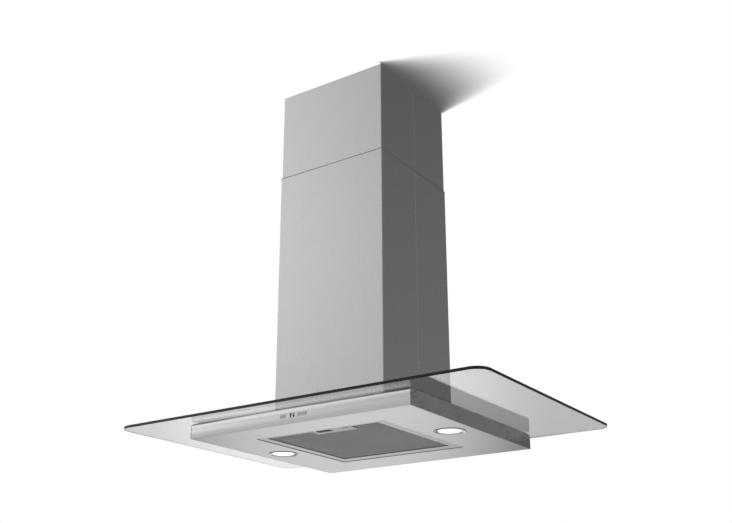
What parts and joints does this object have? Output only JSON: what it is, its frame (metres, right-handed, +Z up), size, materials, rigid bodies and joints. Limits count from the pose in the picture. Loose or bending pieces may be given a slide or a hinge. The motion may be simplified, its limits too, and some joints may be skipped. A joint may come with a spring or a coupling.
{
  "type": "island range hood",
  "caption": "Island range hood: clear glass canopy over a slim steel body with a grease filter and lamps, hung under a telescopic flue from a ceiling plate.",
  "frame": {"origin": "centre of the four ceiling bolt holes, on the ceiling plate's top face", "axes": "+Z up; +X to the right seen from the control side; +Y away from the control side"},
  "size_m": [0.9, 0.6, 0.8392],
  "materials": {
    "flue_steel": "vertical brushed grain",
    "body_steel": "brushed along the width",
    "zinc_sheet": "zinc coated sheet",
    "clear_glass": "clear, dark polished edges",
    "black_rubber": "matte strip",
    "fastener_zinc": "zinc plated",
    "lamp_chrome": "polished",
    "lamp_lens": "frosted, lit",
    "lamp_can": "drawn aluminium",
    "filter_aluminium": "expanded mesh",
    "filter_frame": "satin",
    "key_face": "silver, printed icon",
    "display": "dark window, lit digit",
    "black_plastic": "moulded",
    "blower_plastic": "moulded, fine texture",
    "board": "solder mask",
    "motor_paint": "satin",
    "grey_plastic": "moulded",
    "spring_steel": "bright wire"
  },
  "bodies": {
    "ceiling_frame": {"ceiling_plate": "zinc_sheet", "upper_posts": "zinc_sheet", "upper_tie_band": "zinc_sheet", "upper_flue_front": "flue_steel", "upper_flue_rear": "flue_steel", "upper_flue_strips": "zinc_sheet", "flue_screws": "fastener_zinc"},
    "lower_flue": {"lower_flue_front": "flue_steel", "lower_flue_rear": "flue_steel", "lower_flue_clips": "zinc_sheet"},
    "filter": {"filter_frame": "filter_frame", "filter_face_mesh": "filter_aluminium", "filter_layers": "filter_aluminium", "filter_back_mesh": "filter_aluminium", "latch_plate": "filter_frame"},
    "filter_latch": {"latch_slider": "filter_frame", "latch_spring": "spring_steel"},
    "impeller": {"impeller": "blower_plastic"},
    "front_flap": {"front_check_flap": "black_plastic"},
    "rear_flap": {"rear_check_flap": "black_plastic"},
    "light_button": {"light_key": "key_face"},
    "less_button": {"less_key": "key_face"},
    "more_button": {"more_key": "key_face"},
    "boost_button": {"boost_key": "key_face"},
    "timer_button": {"timer_key": "key_face"},
    "canopy": {"lower_posts": "zinc_sheet", "lower_tie_band": "zinc_sheet", "post_bolts": "fastener_zinc", "glass_plate": "clear_glass", "glass_gasket": "black_rubber", "top_plate": "zinc_sheet", "front_fascia": "body_steel", "rear_fascia": "body_steel", "left_end_panel": "body_steel", "right_end_panel": "body_steel", "bottom_panel": "body_steel", "panel_rim": "body_steel", "filter_surround": "body_steel", "panel_screws": "fastener_zinc", "led_driver": "grey_plastic", "control_carrier": "black_plastic", "control_board": "board", "display_window": "display", "blower_box": "zinc_sheet", "scroll_front": "blower_plastic", "scroll_rear": "blower_plastic", "motor": "motor_paint", "motor_bracket": "zinc_sheet", "capacitor": "grey_plastic", "collar_base": "black_plastic", "outlet_collar": "black_plastic", "flap_pins": "fastener_zinc", "electronics_box": "grey_plastic", "electronics_lid": "grey_plastic", "cable_gland": "black_plastic", "lamp_ring_left": "lamp_chrome", "lamp_ring_right": "lamp_chrome", "lamp_lens_left": "lamp_lens", "lamp_lens_right": "lamp_lens", "lamp_housings": "lamp_can"}
  },
  "joints": [
    {"name": "canopy_height", "type": "slide", "parent": "ceiling_frame", "child": "canopy", "axis": [0, 0, 1], "range_m": [-0.25, 0.1]},
    {"name": "flue_lift", "type": "slide", "parent": "canopy", "child": "lower_flue", "axis": [0, 0, 1], "range_m": [0, 0.1]},
    {"name": "filter_tilt", "type": "hinge", "parent": "canopy", "child": "filter", "pos_m": [0, 0.145, -0.8325], "axis": [1, 0, 0], "range_deg": [0, 75]},
    {"name": "filter_latch", "type": "slide", "parent": "filter", "child": "filter_latch", "axis": [0, 1, 0], "range_m": [0, 0.005], "stiffness_N_per_m": 300, "springref_m": -0.002, "deforming": ["latch_spring"]},
    {"name": "impeller_spin", "type": "hinge", "parent": "canopy", "child": "impeller", "pos_m": [0, 0, -0.668], "axis": [0, 1, 0], "continuous": true},
    {"name": "check_flap_front", "type": "hinge", "parent": "canopy", "child": "front_flap", "pos_m": [0, -0.004, -0.5354], "axis": [-1, 0, 0], "range_deg": [0, 80]},
    {"name": "check_flap_rear", "type": "hinge", "parent": "canopy", "child": "rear_flap", "pos_m": [0, 0.004, -0.5354], "axis": [1, 0, 0], "range_deg": [0, 80]},
    {"name": "push_light", "type": "slide", "parent": "canopy", "child": "light_button", "axis": [0, 1, 0], "range_m": [0, 0.001], "stiffness_N_per_m": 200, "springref_m": -0.002},
    {"name": "push_less", "type": "slide", "parent": "canopy", "child": "less_button", "axis": [0, 1, 0], "range_m": [0, 0.001], "stiffness_N_per_m": 200, "springref_m": -0.002},
    {"name": "push_more", "type": "slide", "parent": "canopy", "child": "more_button", "axis": [0, 1, 0], "range_m": [0, 0.001], "stiffness_N_per_m": 200, "springref_m": -0.002},
    {"name": "push_boost", "type": "slide", "parent": "canopy", "child": "boost_button", "axis": [0, 1, 0], "range_m": [0, 0.001], "stiffness_N_per_m": 200, "springref_m": -0.002},
    {"name": "push_timer", "type": "slide", "parent": "canopy", "child": "timer_button", "axis": [0, 1, 0], "range_m": [0, 0.001], "stiffness_N_per_m": 200, "springref_m": -0.002}
  ]
}
